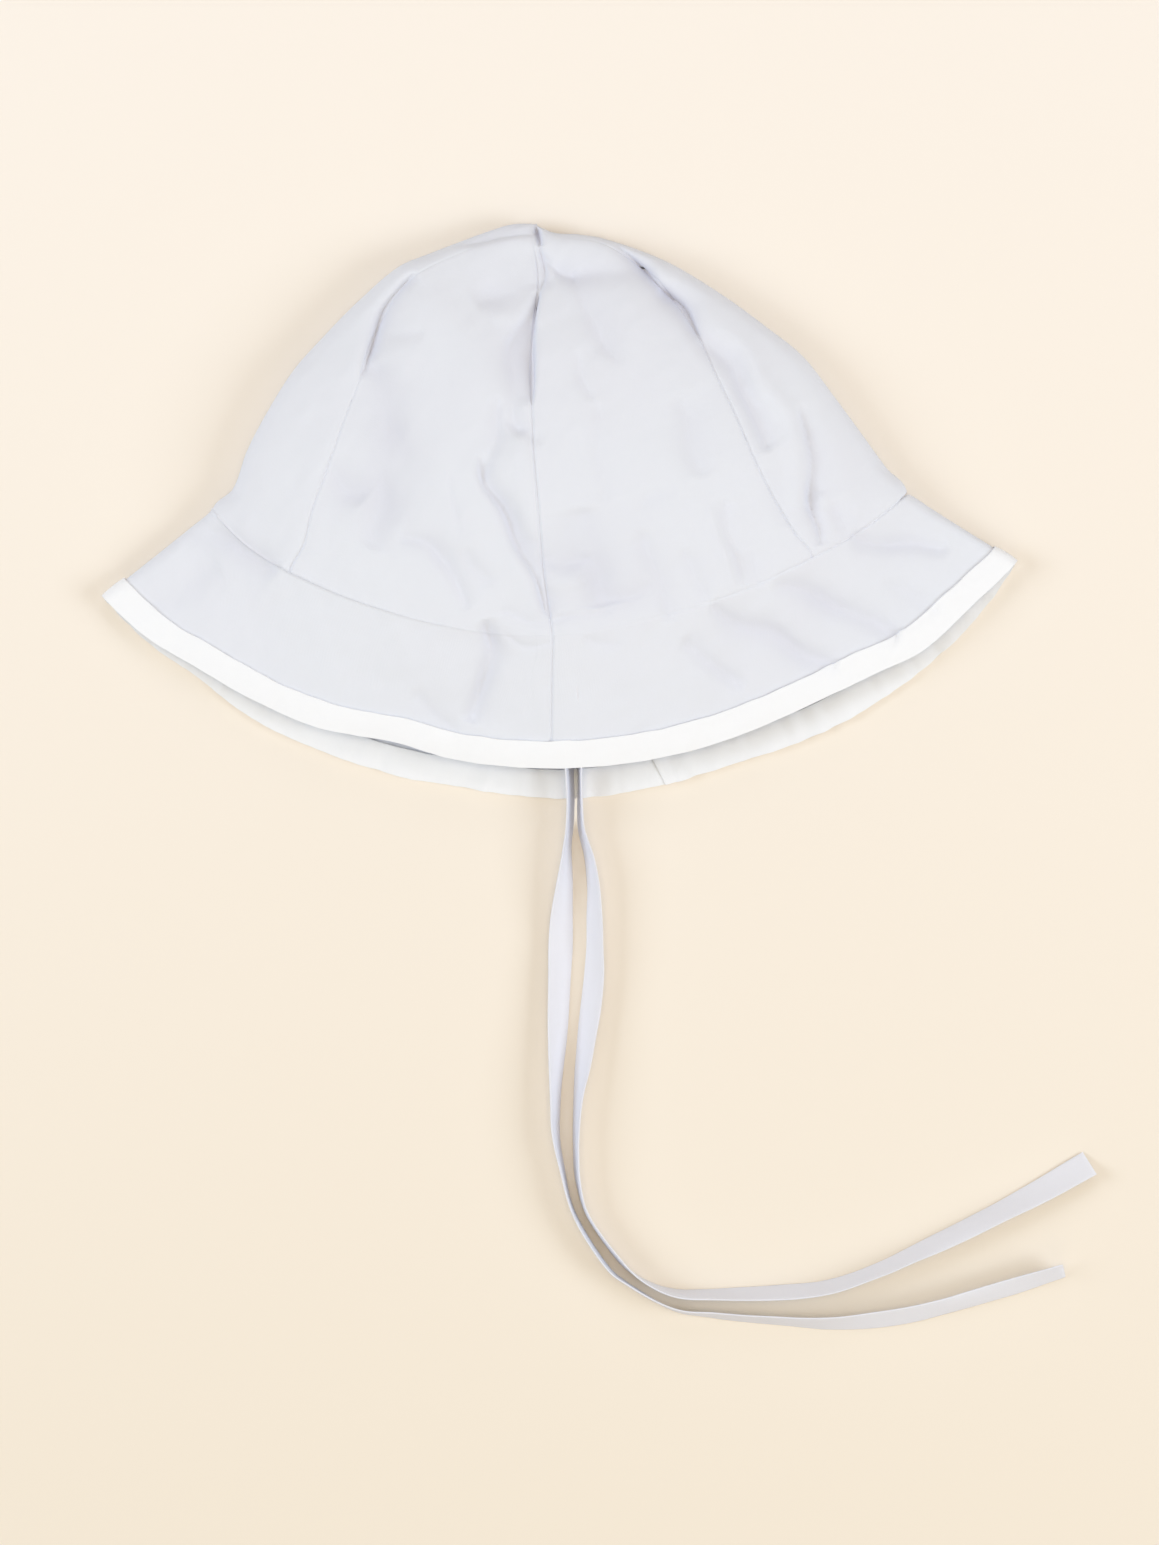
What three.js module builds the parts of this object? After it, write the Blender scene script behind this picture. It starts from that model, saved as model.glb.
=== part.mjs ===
// A baby's cotton sun bonnet, lying on its side and pressed nearly flat, in millimetres.
// The crown is six gores sewn together at the apex, the brim is two half rings joined at the middle,
// a folded tape binds the brim's edge, and two flat ties leave the mouth.
// X runs to the right across the hat, Y from the mouth towards the apex, and Z up from the table.
import * as THREE from "three";

// Driving sizes.
const headGirth = 456; // round the seam between crown and brim
const crownLength = 130; // from the apex down a gore to that seam
const brimDepth = 42; // from that seam to the outside of the binding
const crownHeight = 27; // the upper layer over the table, at its highest
const foldRadius = 4.5; // outside of the soft folds at the two sides
const clothWall = 1;
const bindingWidth = 8;
const bindingWall = 1;
const tieWidth = 8.4;
const tieWall = 1;
const seamGap = 0.3; // left between neighbours that are sewn together
const bindingGap = 0.4; // between the binding and the cloth that it is folded over
const tipGap = 1.4; // from the apex to the gores' points

// What follows from them.
const quarterGirth = headGirth / 4;
const bindingStand = bindingWall + bindingGap; // how far the binding stands off the cloth on either side
const bindingNose = clothWall / 2 + bindingStand; // how far it reaches past the cloth's edge
const tipReach = tipGap / crownLength;
const noseRadii = 1.6; // the apex is rounded over this many fold radii
const noseReach = (noseRadii * foldRadius) / crownLength;
const archPower = 1.15; // above 1 the upper layer is a little more peaked than an ellipse
const brimFlare = THREE.MathUtils.degToRad(0.8);
const joinStation = 38; // where the binding's two ends meet, on the lower layer right of the middle
const layerBlend = 0.4; // how far round each side fold the two layers' outlines blend
const baseFrom = 0.2; // the brim rises on to its binding between these shares of its depth
const baseTo = 0.8;
const foldFade = 0.3; // share of a fold's length over which it fades at either end

// Sections round the hat, from the apex (reach 0) to the head seam (1) and the brim's edge (2).
// left and right: cloth between the middle seam and each side fold, as shares of a quarter of the girth.
// seamLeft and seamRight: where the side seams cross the upper layer, as shares of the way to the fold.
// under: the same for the two side seams of the lower layer.
// lean: bearing of the middle seam in degrees. rise: height of the upper layer, as a share of crownHeight.
// fold: radius of the side folds, as a share of foldRadius.
const sections = [
  { reach: 0.0, left: 0.0, right: 0.0, seamLeft: 0.75, seamRight: 0.78, under: 0.55, lean: 3, rise: 0.36, fold: 1.0 },
  { reach: 0.05, left: 0.087, right: 0.087, seamLeft: 0.8, seamRight: 0.84, under: 0.5, lean: 4, rise: 0.4, fold: 1.0 },
  { reach: 0.15, left: 0.23, right: 0.233, seamLeft: 0.88, seamRight: 0.93, under: 0.45, lean: 4, rise: 0.52, fold: 1.0 },
  { reach: 0.25, left: 0.367, right: 0.376, seamLeft: 0.9, seamRight: 0.9, under: 0.44, lean: 1, rise: 0.68, fold: 1.0 },
  { reach: 0.33, left: 0.473, right: 0.48, seamLeft: 0.88, seamRight: 0.86, under: 0.45, lean: -0.5, rise: 0.8, fold: 1.0 },
  { reach: 0.45, left: 0.589, right: 0.618, seamLeft: 0.825, seamRight: 0.8, under: 0.47, lean: -0.5, rise: 0.91, fold: 1.0 },
  { reach: 0.55, left: 0.676, right: 0.724, seamLeft: 0.765, seamRight: 0.745, under: 0.5, lean: 0, rise: 0.97, fold: 1.0 },
  { reach: 0.65, left: 0.758, right: 0.826, seamLeft: 0.74, seamRight: 0.708, under: 0.53, lean: 0.4, rise: 1.0, fold: 1.0 },
  { reach: 0.75, left: 0.82, right: 0.899, seamLeft: 0.732, seamRight: 0.695, under: 0.56, lean: 0.8, rise: 0.99, fold: 0.98 },
  { reach: 0.85, left: 0.872, right: 0.969, seamLeft: 0.738, seamRight: 0.695, under: 0.59, lean: 1.3, rise: 0.95, fold: 0.95 },
  { reach: 0.93, left: 0.899, right: 1.025, seamLeft: 0.745, seamRight: 0.7, under: 0.61, lean: 1.9, rise: 0.89, fold: 0.92 },
  { reach: 1.0, left: 0.96, right: 1.08, seamLeft: 0.742, seamRight: 0.705, under: 0.63, lean: 2.4, rise: 0.83, fold: 0.88 },
  { reach: 1.35, left: 0.96, right: 1.08, seamLeft: 0.742, seamRight: 0.705, under: 0.63, lean: 2.2, rise: 0.72, fold: 0.8 },
  { reach: 1.7, left: 0.96, right: 1.08, seamLeft: 0.742, seamRight: 0.705, under: 0.63, lean: 1.8, rise: 0.6, fold: 0.72 },
  { reach: 2.0, left: 0.96, right: 1.08, seamLeft: 0.742, seamRight: 0.705, under: 0.63, lean: 1.5, rise: 0.52, fold: 0.66 },
];

// How far the head seam and the brim's edge lie from the apex, from the left fold (-1) to the right (1).
// seam and underSeam are shares of crownLength; edge and underEdge, of crownLength and brimDepth together.
const across = [
  { side: -1.0, seam: 0.988, edge: 0.993, underSeam: 0.988, underEdge: 0.993 },
  { side: -0.88, seam: 0.99, edge: 0.981, underSeam: 0.991, underEdge: 0.991 },
  { side: -0.7, seam: 0.972, edge: 0.979, underSeam: 0.995, underEdge: 0.986 },
  { side: -0.52, seam: 0.957, edge: 0.971, underSeam: 0.998, underEdge: 0.984 },
  { side: -0.42, seam: 0.953, edge: 0.951, underSeam: 0.999, underEdge: 0.984 },
  { side: -0.33, seam: 0.951, edge: 0.936, underSeam: 1.0, underEdge: 0.984 },
  { side: -0.22, seam: 0.95, edge: 0.943, underSeam: 1.002, underEdge: 0.987 },
  { side: 0.0, seam: 0.952, edge: 0.95, underSeam: 1.007, underEdge: 1.003 },
  { side: 0.3, seam: 0.953, edge: 0.959, underSeam: 1.014, underEdge: 1.003 },
  { side: 0.65, seam: 0.993, edge: 0.972, underSeam: 1.028, underEdge: 1.02 },
  { side: 0.82, seam: 1.03, edge: 0.997, underSeam: 1.046, underEdge: 1.029 },
  { side: 1.0, seam: 1.062, edge: 1.029, underSeam: 1.062, underEdge: 1.029 },
];

// The main folds of the upper layer. Each is a valley from (x, y) to (toX, toY), measured from the apex to the
// right and down the hat, bowed to its left. Places and widths are shares of crownLength, depths of
// crownHeight. near and far are the widths of its left and right banks, seen along the fold.
const folds = [
  { name: "below the apex, left", x: 0.01, y: 0.14, toX: -0.12, toY: 0.187, bow: 0.0, depth: 0.09, near: 0.04, far: 0.03 },
  { name: "below the apex, right", x: 0.03, y: 0.115, toX: 0.25, toY: 0.1, bow: -0.015, depth: 0.09, near: 0.03, far: 0.035 },
  { name: "left of the middle seam", x: 0.0, y: 0.19, toX: -0.06, toY: 0.44, bow: 0.0, depth: 0.13, near: 0.025, far: 0.055 },
  { name: "down to the middle seam", x: -0.115, y: 0.55, toX: 0.03, toY: 0.9, bow: 0.015, depth: 0.11, near: 0.045, far: 0.025 },
  { name: "left seam", x: -0.27, y: 0.12, toX: -0.39, toY: 0.36, bow: -0.01, depth: 0.14, near: 0.03, far: 0.03 },
  { name: "right of the left seam", x: -0.345, y: 0.34, toX: -0.36, toY: 0.62, bow: 0.02, depth: 0.09, near: 0.05, far: 0.035 },
  { name: "low on the left", x: -0.27, y: 0.72, toX: -0.16, toY: 0.88, bow: 0.0, depth: 0.06, near: 0.03, far: 0.03 },
  { name: "right seam", x: 0.2, y: 0.06, toX: 0.54, toY: 0.5, bow: 0.02, depth: 0.13, near: 0.03, far: 0.05 },
  { name: "right of the right seam", x: 0.61, y: 0.44, toX: 0.66, toY: 0.75, bow: 0.01, depth: 0.07, near: 0.035, far: 0.025 },
  { name: "right of the middle seam", x: 0.088, y: 0.16, toX: 0.19, toY: 0.4, bow: 0.0, depth: 0.07, near: 0.04, far: 0.03 },
  { name: "low in the middle", x: 0.06, y: 0.79, toX: 0.25, toY: 0.86, bow: 0.0, depth: 0.07, near: 0.035, far: 0.035 },
  { name: "brim, right", x: 0.56, y: 0.84, toX: 0.86, toY: 0.95, bow: 0.015, depth: 0.09, near: 0.04, far: 0.04 },
  { name: "brim, right of the middle", x: 0.42, y: 0.88, toX: 0.6, toY: 0.99, bow: 0.01, depth: 0.07, near: 0.04, far: 0.04 },
  { name: "brim, left of the middle", x: -0.095, y: 0.95, toX: -0.135, toY: 1.2, bow: 0.0, depth: 0.1, near: 0.04, far: 0.04 },
];

// The ties' routes, from the apex, in millimetres. ground is the height of what the tie lies on, roll its
// tilt in degrees, and width the share of its full width where it is creased lengthwise.
const lowerTieRoute = [
  { x: 10.5, y: -131.5, ground: 1.4, roll: 0, width: 1 },
  { x: 10.2, y: -139, ground: 1.8, roll: 0, width: 1 },
  { x: 9.9, y: -148, ground: 2.4, roll: 10, width: 1 },
  { x: 10.2, y: -156, ground: 3.4, roll: 30, width: 0.9 },
  { x: 10.4, y: -163.8, ground: 4.1, roll: 52, width: 0.75 },
  { x: 10.6, y: -171.3, ground: 4.1, roll: 62, width: 0.7 },
  { x: 10.4, y: -176, ground: 2.8, roll: 66, width: 0.72 },
  { x: 10.1, y: -180.5, ground: 0.5, roll: 68, width: 0.78 },
  { x: 10.0, y: -186, ground: 0, roll: 67, width: 0.85 },
  { x: 9.4, y: -195.6, ground: 0, roll: 50, width: 1 },
  { x: 8.7, y: -205.2, ground: 0, roll: 22, width: 1 },
  { x: 8.4, y: -216, ground: 0, roll: 8, width: 1 },
  { x: 7.8, y: -229.8, ground: 0, roll: 24, width: 1 },
  { x: 7.1, y: -244, ground: 0, roll: 42, width: 1 },
  { x: 6.6, y: -261.6, ground: 0, roll: 54, width: 1 },
  { x: 6.8, y: -272.4, ground: 0, roll: 64, width: 1 },
  { x: 9.0, y: -285, ground: 0, roll: 70, width: 1 },
  { x: 13.6, y: -297.6, ground: 0, roll: 72, width: 1 },
  { x: 23.2, y: -310.4, ground: 0, roll: 73, width: 1 },
  { x: 31.9, y: -319.2, ground: 0, roll: 76, width: 1 },
  { x: 40.8, y: -324.4, ground: 0, roll: 78, width: 1 },
  { x: 59.7, y: -327.3, ground: 0, roll: 76, width: 1 },
  { x: 85.2, y: -329.2, ground: 0, roll: 68, width: 1 },
  { x: 97.8, y: -328.6, ground: 0, roll: 60, width: 1 },
  { x: 110.4, y: -326.8, ground: 0, roll: 55, width: 1 },
  { x: 123, y: -324, ground: 0, roll: 56, width: 1 },
  { x: 135.6, y: -320.4, ground: 0, roll: 58, width: 1 },
  { x: 148.2, y: -316.6, ground: 0, roll: 62, width: 1 },
  { x: 159, y: -313.2, ground: 0, roll: 66, width: 1 },
];
const upperTieRoute = [
  { x: 5.6, y: -124.6, ground: 19.8, roll: 0, width: 1 },
  { x: 6.2, y: -129, ground: 18.4, roll: 0, width: 1 },
  { x: 7.4, y: -134.6, ground: 14.8, roll: 4, width: 1 },
  { x: 9.2, y: -141, ground: 10.6, roll: 10, width: 0.95 },
  { x: 12.6, y: -149, ground: 6.8, roll: 26, width: 0.85 },
  { x: 14.3, y: -157, ground: 4.6, roll: 56, width: 0.75 },
  { x: 14.7, y: -164, ground: 4.1, roll: 72, width: 0.7 },
  { x: 14.8, y: -171.3, ground: 4.1, roll: 76, width: 0.68 },
  { x: 15.2, y: -176, ground: 2.8, roll: 76, width: 0.72 },
  { x: 15.7, y: -180.5, ground: 0.5, roll: 70, width: 0.78 },
  { x: 16.6, y: -186.5, ground: 0, roll: 69, width: 0.88 },
  { x: 17.9, y: -195.6, ground: 0, roll: 65, width: 1 },
  { x: 18.7, y: -205.2, ground: 0, roll: 57, width: 1 },
  { x: 18.9, y: -216, ground: 0, roll: 49, width: 1 },
  { x: 18.7, y: -229.8, ground: 0, roll: 46, width: 1 },
  { x: 16.6, y: -244, ground: 0, roll: 54, width: 1 },
  { x: 13.9, y: -261.6, ground: 0, roll: 60, width: 1 },
  { x: 12.9, y: -272.4, ground: 0, roll: 68, width: 1 },
  { x: 13.5, y: -285, ground: 0, roll: 75, width: 1 },
  { x: 17.0, y: -296.4, ground: 0, roll: 75, width: 1 },
  { x: 25.6, y: -308.4, ground: 0, roll: 75, width: 1 },
  { x: 33.6, y: -316.2, ground: 0, roll: 73, width: 1 },
  { x: 42.0, y: -319.6, ground: 0, roll: 68, width: 1 },
  { x: 59.7, y: -320.4, ground: 0, roll: 63, width: 1 },
  { x: 85.2, y: -318.8, ground: 0, roll: 60, width: 1 },
  { x: 97.8, y: -315.4, ground: 0, roll: 53, width: 1 },
  { x: 110.4, y: -310, ground: 0, roll: 49, width: 1 },
  { x: 123, y: -303.9, ground: 0, roll: 44, width: 1 },
  { x: 135.6, y: -297.6, ground: 0, roll: 38, width: 1 },
  { x: 148.2, y: -291.2, ground: 0, roll: 33, width: 1 },
  { x: 160.8, y: -284.4, ground: 0, roll: 26, width: 1 },
  { x: 166.8, y: -281.2, ground: 0, roll: 22, width: 1 },
];

// A smooth curve through one column of a table: cubic stretches whose slopes come from the rows beside them.
function column(rows, place, name) {
  const xs = rows.map((row) => row[place]);
  const ys = rows.map((row) => row[name]);
  const last = xs.length - 1;
  const slopes = xs.map((_, i) => {
    const before = Math.max(i - 1, 0);
    const after = Math.min(i + 1, last);
    return (ys[after] - ys[before]) / (xs[after] - xs[before]);
  });
  return (x) => {
    let i = 0;
    while (i < last - 1 && x > xs[i + 1]) i++;
    const span = xs[i + 1] - xs[i];
    const t = THREE.MathUtils.clamp((x - xs[i]) / span, 0, 1);
    const rest = 1 - t;
    const start = (1 + 2 * t) * rest * rest * ys[i] + t * rest * rest * span * slopes[i];
    const end = t * t * (3 - 2 * t) * ys[i + 1] - t * t * rest * span * slopes[i + 1];
    return start + end;
  };
}

const columnsOf = (rows, place) =>
  Object.fromEntries(Object.keys(rows[0]).map((name) => [name, column(rows, place, name)]));
const section = columnsOf(sections, "reach");
const spread = columnsOf(across, "side");

// How far the folds lower the upper layer at a place given from the apex, to the right and down.
function foldDepth(right, down) {
  let depth = 0;
  for (const fold of folds) {
    const along = new THREE.Vector2(fold.toX - fold.x, fold.toY - fold.y);
    const length = along.length();
    along.divideScalar(length);
    const from = new THREE.Vector2(right / crownLength - fold.x, down / crownLength - fold.y);
    const share = from.dot(along) / length;
    if (share <= 0 || share >= 1) continue;
    const off = from.cross(along) - fold.bow * 4 * share * (1 - share);
    const bank = off > 0 ? fold.near : fold.far;
    const nearEnd = Math.min(share, 1 - share);
    const fade = THREE.MathUtils.smoothstep(nearEnd, 0, foldFade);
    depth += fold.depth * crownHeight * fade * Math.exp(-((off / bank) ** 2));
  }
  return depth;
}

// A point on the outside of the cloth. turn goes round the hat: 0 is the middle of the upper layer, 1 the
// right fold, 2 or -2 the middle of the lower layer and -1 the left fold. reach is as in the sections.
function outside(turn, reach) {
  const side = Math.sin((turn * Math.PI) / 2);
  const over = Math.cos((turn * Math.PI) / 2); // 1 in the middle of the upper layer, -1 of the lower
  const upper = THREE.MathUtils.smoothstep(over, -layerBlend, layerBlend);
  const inCrown = Math.min(reach, 1);
  const inBrim = Math.max(reach - 1, 0);

  const seam = crownLength * THREE.MathUtils.lerp(spread.underSeam(side), spread.seam(side), upper);
  const edgeShare = THREE.MathUtils.lerp(spread.underEdge(side), spread.edge(side), upper);
  const edge = (crownLength + brimDepth) * edgeShare - bindingNose;
  const radius = inCrown * seam + inBrim * (edge - seam);

  const half = side < 0 ? section.left(inCrown) : section.right(inCrown);
  const foldBearing = (half * quarterGirth) / (inCrown * crownLength) + brimFlare * inBrim;
  const lean = THREE.MathUtils.degToRad(section.lean(reach)) * (over > 0 ? 1 : 2);
  const bearing = foldBearing * side + lean * over * over;
  const right = radius * Math.sin(bearing);
  const down = radius * Math.cos(bearing);

  const round = foldRadius * section.fold(reach);
  const base = bindingStand * THREE.MathUtils.smoothstep(inBrim, baseFrom, baseTo);
  const foldShare = Math.min(1, Math.sqrt((2 * round) / Math.max(radius * foldBearing, 1)));
  const nose = Math.sqrt(1 - (1 - Math.min(1, reach / noseReach)) ** 2);
  const roll = round * Math.sin((Math.PI / 2) * Math.min(1, Math.abs(over) / foldShare));
  let height = base + round + nose * Math.sign(over) * roll;
  if (over > 0) {
    const arch = Math.max(0, crownHeight * section.rise(reach) - base - 2 * round);
    const cover = nose * over ** archPower;
    height += cover * arch;
    height -= THREE.MathUtils.smoothstep(over, 0, 0.5) * nose * foldDepth(right, down);
  }
  return new THREE.Vector3(right, -down, height);
}

// The cloth's frame at a point: its outward normal, and the direction down the hat.
function frameAt(turn, reach) {
  const step = 1e-3;
  const round = outside(turn + step, reach).sub(outside(turn - step, reach)).divideScalar(2 * step);
  const down = outside(turn, reach + step).sub(outside(turn, reach - step)).divideScalar(2 * step);
  const normal = new THREE.Vector3().crossVectors(down, round).normalize();
  return { point: outside(turn, reach), normal, down: down.normalize(), roundSpeed: round.length() };
}

// A box of unit size, cut into cells and bent: place(u, v, w) gives the point for the shares along its sides.
function bentBox(cellsU, cellsV, place) {
  const geometry = new THREE.BoxGeometry(1, 1, 1, cellsU, cellsV, 1);
  const position = geometry.attributes.position;
  const share = new THREE.Vector3();
  for (let i = 0; i < position.count; i++) {
    share.fromBufferAttribute(position, i).addScalar(0.5);
    const point = place(share.x, share.y, share.z);
    position.setXYZ(i, point.x, point.y, point.z);
  }
  geometry.computeVertexNormals();
  return geometry;
}

// A wall of cloth between two seams. fromTurn and toTurn give the seams' turn at a reach, and crowd spaces the
// cells between them. The seam's gap is shared by the two neighbours.
function clothPanel({ cells, fromTurn, toTurn, fromReach, toReach, crowd = (share) => share }) {
  return bentBox(cells.round, cells.down, (u, v, w) => {
    const reach = THREE.MathUtils.lerp(toReach, fromReach, v);
    const halfGap = (turn) => seamGap / 2 / frameAt(turn, reach).roundSpeed;
    const from = fromTurn(reach) + halfGap(fromTurn(reach));
    const to = toTurn(reach) - halfGap(toTurn(reach));
    const { point, normal } = frameAt(THREE.MathUtils.lerp(from, to, crowd(u)), reach);
    return point.addScaledVector(normal, (w - 1) * clothWall);
  });
}

const cotton = new THREE.MeshStandardMaterial({ color: 0xdfe2ea, roughness: 0.9, metalness: 0 });
const whiteTape = new THREE.MeshStandardMaterial({ color: 0xf5f4f2, roughness: 0.85, metalness: 0 });
const tieCotton = new THREE.MeshStandardMaterial({ color: 0xdee1ea, roughness: 0.9, metalness: 0 });

const hat = new THREE.Group();

function addPiece(name, geometry, material) {
  const mesh = new THREE.Mesh(geometry, material);
  mesh.name = name;
  hat.add(mesh);
}

// The turn at which a share of the way to the side fold is reached, on the upper layer.
const turnAt = (share) => (2 / Math.PI) * Math.asin(share);
const seams = {
  upperMiddle: () => 0,
  upperRight: (reach) => turnAt(section.seamRight(reach)),
  lowerRight: (reach) => 2 - turnAt(section.under(reach)),
  lowerMiddleRight: () => 2,
  lowerMiddleLeft: () => -2,
  lowerLeft: (reach) => -2 + turnAt(section.under(reach)),
  upperLeft: (reach) => -turnAt(section.seamLeft(reach)),
};

// The crown's six gores, each from the head seam up to its point at the apex.
const gores = [
  { name: "gore_upper_left", from: "upperLeft", to: "upperMiddle", cells: { round: 15, down: 24 } },
  { name: "gore_upper_right", from: "upperMiddle", to: "upperRight", cells: { round: 15, down: 24 } },
  { name: "gore_side_right", from: "upperRight", to: "lowerRight", cells: { round: 13, down: 20 } },
  { name: "gore_lower_right", from: "lowerRight", to: "lowerMiddleRight", cells: { round: 6, down: 14 } },
  { name: "gore_lower_left", from: "lowerMiddleLeft", to: "lowerLeft", cells: { round: 6, down: 14 } },
  { name: "gore_side_left", from: "lowerLeft", to: "upperLeft", cells: { round: 13, down: 20 } },
];
for (const gore of gores) {
  const geometry = clothPanel({
    cells: gore.cells,
    fromTurn: seams[gore.from],
    toTurn: seams[gore.to],
    fromReach: tipReach,
    toReach: 1 - seamGap / 2 / crownLength,
  });
  addPiece(gore.name, geometry, cotton);
}

// Stations round half of the brim, from the middle of the upper layer (turn 0) to that of the lower one (2),
// closer together on the upper layer. The binding has the same ones, so that its facets follow the cloth's.
const brimCells = { round: 40, down: 6 };
const upperCrowding = 0.55; // 0 would space them evenly
const stationTurn = (index) => {
  const share = index / brimCells.round;
  return 2 * ((1 - upperCrowding) * share + upperCrowding * share * share);
};

// The brim's two halves. Each wraps one side fold.
const brimStart = 1 + seamGap / 2 / brimDepth;
const crowdedUpper = (share) => stationTurn(share * brimCells.round) / 2;
const rightHalf = clothPanel({
  cells: brimCells,
  fromTurn: seams.upperMiddle,
  toTurn: seams.lowerMiddleRight,
  fromReach: brimStart,
  toReach: 2,
  crowd: crowdedUpper,
});
const leftHalf = clothPanel({
  cells: brimCells,
  fromTurn: seams.lowerMiddleLeft,
  toTurn: seams.upperMiddle,
  fromReach: brimStart,
  toReach: 2,
  crowd: (share) => 1 - crowdedUpper(1 - share),
});
addPiece("brim_right", rightHalf, cotton);
addPiece("brim_left", leftHalf, cotton);

// The binding: a tape folded over the brim's edge, a channel whose two legs lie on either side of the cloth.
// Its section runs along the outer leg to the edge, round the nose and back along the inner leg. corner counts
// the section's corners: back is the way back from the cloth's edge, turn the direction that the tape faces.
const bindingLeg = bindingWidth - bindingNose;
const noseTurns = [90, 30, -30, -90];
const sectionCorners = [
  { back: bindingLeg, turn: 90 },
  ...noseTurns.map((turn) => ({ back: 0, turn })),
  { back: bindingLeg, turn: -90 },
];
const ringCells = 2 * brimCells.round;
const ringTurn = (index) => {
  const step = index % ringCells;
  return step <= brimCells.round ? stationTurn(step) : 4 - stationTurn(ringCells - step);
};
const binding = bentBox(ringCells, sectionCorners.length - 1, (u, v, w) => {
  const corner = sectionCorners[Math.round((1 - v) * (sectionCorners.length - 1))];
  const reach = 2 - corner.back / brimDepth;
  const station = joinStation + Math.round(u * ringCells);
  const { normal, down, roundSpeed } = frameAt(ringTurn(station), reach);
  const fromJoin = u === 0 ? seamGap / 2 : u === 1 ? -seamGap / 2 : 0;
  const point = outside(ringTurn(station) + fromJoin / roundSpeed, reach);
  const facing = THREE.MathUtils.degToRad(corner.turn);
  const stand = clothWall / 2 + bindingGap + w * bindingWall;
  return point
    .addScaledVector(normal, stand * Math.sin(facing) - clothWall / 2)
    .addScaledVector(down, stand * Math.cos(facing));
});
addPiece("edge_binding", binding, whiteTape);

// A tie: flat tape carried along its route, tilted by its roll and lying on the ground under it.
function tie(route) {
  const cells = { along: 46, across: 2 };
  const look = 0.01; // share of the route by which its direction is taken ahead and behind
  const rows = route.map((row, i) => ({ ...row, step: i / (route.length - 1) }));
  const at = columnsOf(rows, "step");
  const middle = (step) => {
    const roll = THREE.MathUtils.degToRad(at.roll(step));
    const half = (tieWidth / 2) * at.width(step);
    const height = at.ground(step) + half * Math.sin(roll) + (tieWall / 2) * Math.cos(roll);
    return new THREE.Vector3(at.x(step), at.y(step), height);
  };
  return bentBox(cells.along, cells.across, (u, v, w) => {
    const ahead = middle(Math.min(u + look, 1)).sub(middle(Math.max(u - look, 0))).normalize();
    const level = new THREE.Vector3(0, 0, 1).cross(ahead).normalize();
    const roll = THREE.MathUtils.degToRad(at.roll(u));
    const wide = level.applyAxisAngle(ahead, -roll);
    const normal = new THREE.Vector3().crossVectors(ahead, wide);
    const half = (tieWidth / 2) * at.width(u);
    const point = middle(u)
      .addScaledVector(wide, (2 * v - 1) * half)
      .addScaledVector(normal, (w - 0.5) * tieWall);
    return point.setZ(Math.max(point.z, 0));
  });
}

// The hat rests with its box centred over the origin; the ties move with it but don't count in that box.
const box = new THREE.Box3().setFromObject(hat);
const centre = box.getCenter(new THREE.Vector3());
hat.position.set(-centre.x, -centre.y, -box.min.z);
addPiece("tie_lower", tie(lowerTieRoute), tieCotton);
addPiece("tie_upper", tie(upperTieRoute), tieCotton);

export default hat;
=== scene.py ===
import bpy
import numpy as np
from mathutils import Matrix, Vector


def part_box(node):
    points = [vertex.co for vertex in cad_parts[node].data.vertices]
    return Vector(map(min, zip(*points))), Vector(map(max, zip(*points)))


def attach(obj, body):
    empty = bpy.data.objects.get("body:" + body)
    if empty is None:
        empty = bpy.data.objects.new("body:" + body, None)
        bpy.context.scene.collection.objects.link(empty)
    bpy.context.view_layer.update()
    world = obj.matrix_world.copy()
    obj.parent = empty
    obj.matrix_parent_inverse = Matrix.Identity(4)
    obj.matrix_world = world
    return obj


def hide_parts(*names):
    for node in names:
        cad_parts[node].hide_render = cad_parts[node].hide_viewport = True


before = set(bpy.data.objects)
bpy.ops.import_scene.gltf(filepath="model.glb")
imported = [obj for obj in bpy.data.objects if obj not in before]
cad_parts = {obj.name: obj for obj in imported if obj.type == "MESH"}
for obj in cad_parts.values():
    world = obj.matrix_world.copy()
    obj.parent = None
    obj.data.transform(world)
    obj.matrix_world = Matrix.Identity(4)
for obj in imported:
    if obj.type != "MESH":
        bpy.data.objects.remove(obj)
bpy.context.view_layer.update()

# Camera: the hat lies on a table and was photographed from straight above with a long lens, whose picture
# takes in a little under half a metre of table from top to bottom.
camera_height = 1.6
picture_height = 0.4635
picture_centre = (0.0059, -0.0780)
film_height = 36  # in millimetres; the picture is upright, so the film's size is measured along its height
camera_data = bpy.data.cameras.new("camera")
camera_data.sensor_width = film_height
camera_data.lens = film_height * camera_height / picture_height
camera = bpy.data.objects.new("camera", camera_data)
camera.location = (*picture_centre, camera_height)
bpy.context.scene.collection.objects.link(camera)
bpy.context.scene.camera = camera

# Crown: six gores of thin woven cotton, sewn edge to edge from the head seam up to their points at the apex.
# It lies on its side: two gores are on top, two wrap the soft folds at the sides and two are below. Worn
# cotton keeps creases along its seams, a few long folds, and small puckers above the head seam.

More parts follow.
